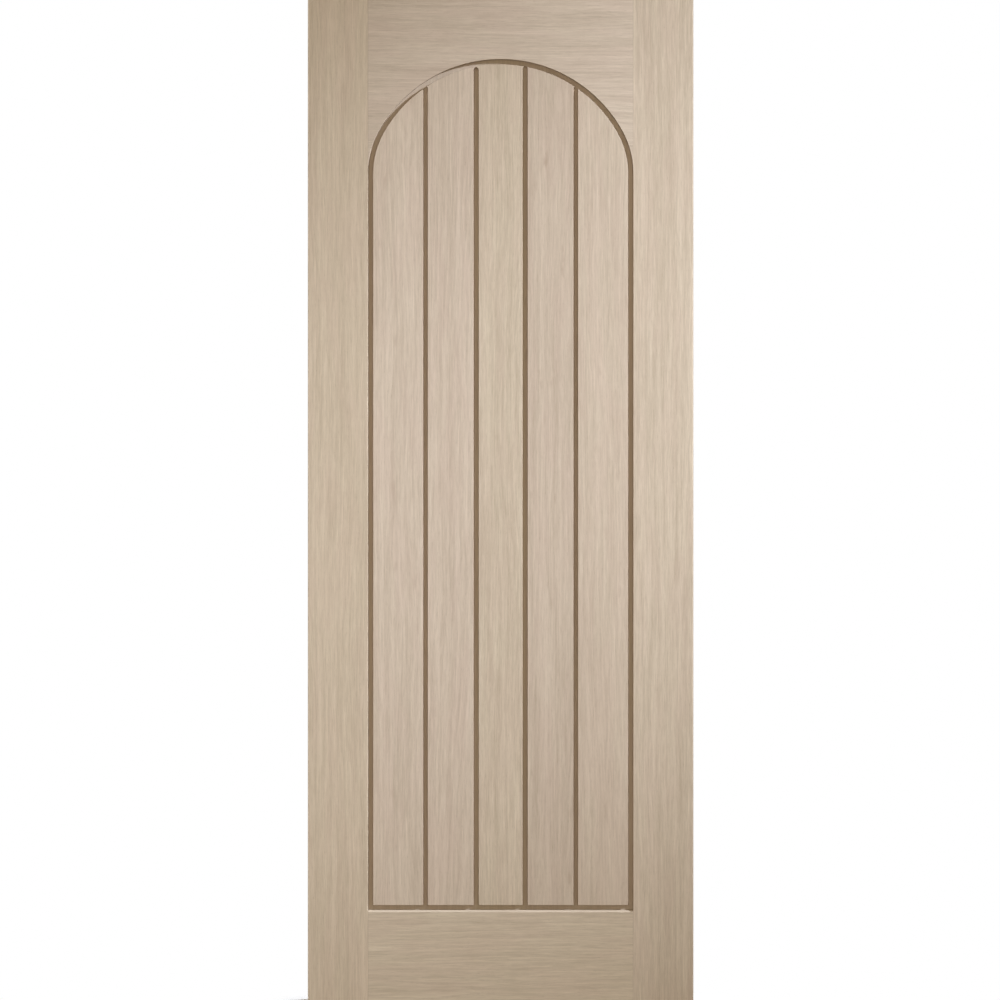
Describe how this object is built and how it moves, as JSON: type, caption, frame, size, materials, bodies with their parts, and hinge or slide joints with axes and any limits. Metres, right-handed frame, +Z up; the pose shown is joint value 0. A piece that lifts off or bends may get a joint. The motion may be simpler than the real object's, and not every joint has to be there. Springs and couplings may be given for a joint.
{
  "type": "interior door leaf",
  "caption": "Pale oak interior door leaf: stiles and rails round an arched panel of grooved boards, bare of hinges and furniture, ready to be hung in a lining.",
  "frame": {"origin": "middle of the leaf's bottom edge, at mid thickness", "axes": "+Z up the leaf, +X to the right as seen from the front, -Y out of the front face"},
  "size_m": [0.762, 0.035, 1.981],
  "materials": {
    "oak_stile": "clear matt",
    "oak_rail": "clear matt",
    "oak_board": "clear matt",
    "beech_dowel": "bare"
  },
  "bodies": {
    "root": {"left_stile_core": "oak_stile", "left_stile_inner_lipping": "oak_stile", "left_stile_outer_lipping": "oak_stile", "right_stile_core": "oak_stile", "right_stile_inner_lipping": "oak_stile", "right_stile_outer_lipping": "oak_stile", "top_rail_core": "oak_rail", "top_rail_lipping": "oak_rail", "bottom_rail_core": "oak_rail", "bottom_rail_upper_lipping": "oak_rail", "bottom_rail_lower_lipping": "oak_rail", "panel_board_1": "oak_board", "panel_board_2": "oak_board", "panel_board_3": "oak_board", "panel_board_4": "oak_board", "panel_board_5": "oak_board", "top_rail_left_dowels": "beech_dowel", "top_rail_right_dowels": "beech_dowel", "bottom_rail_left_dowels": "beech_dowel", "bottom_rail_right_dowels": "beech_dowel"}
  },
  "joints": []
}
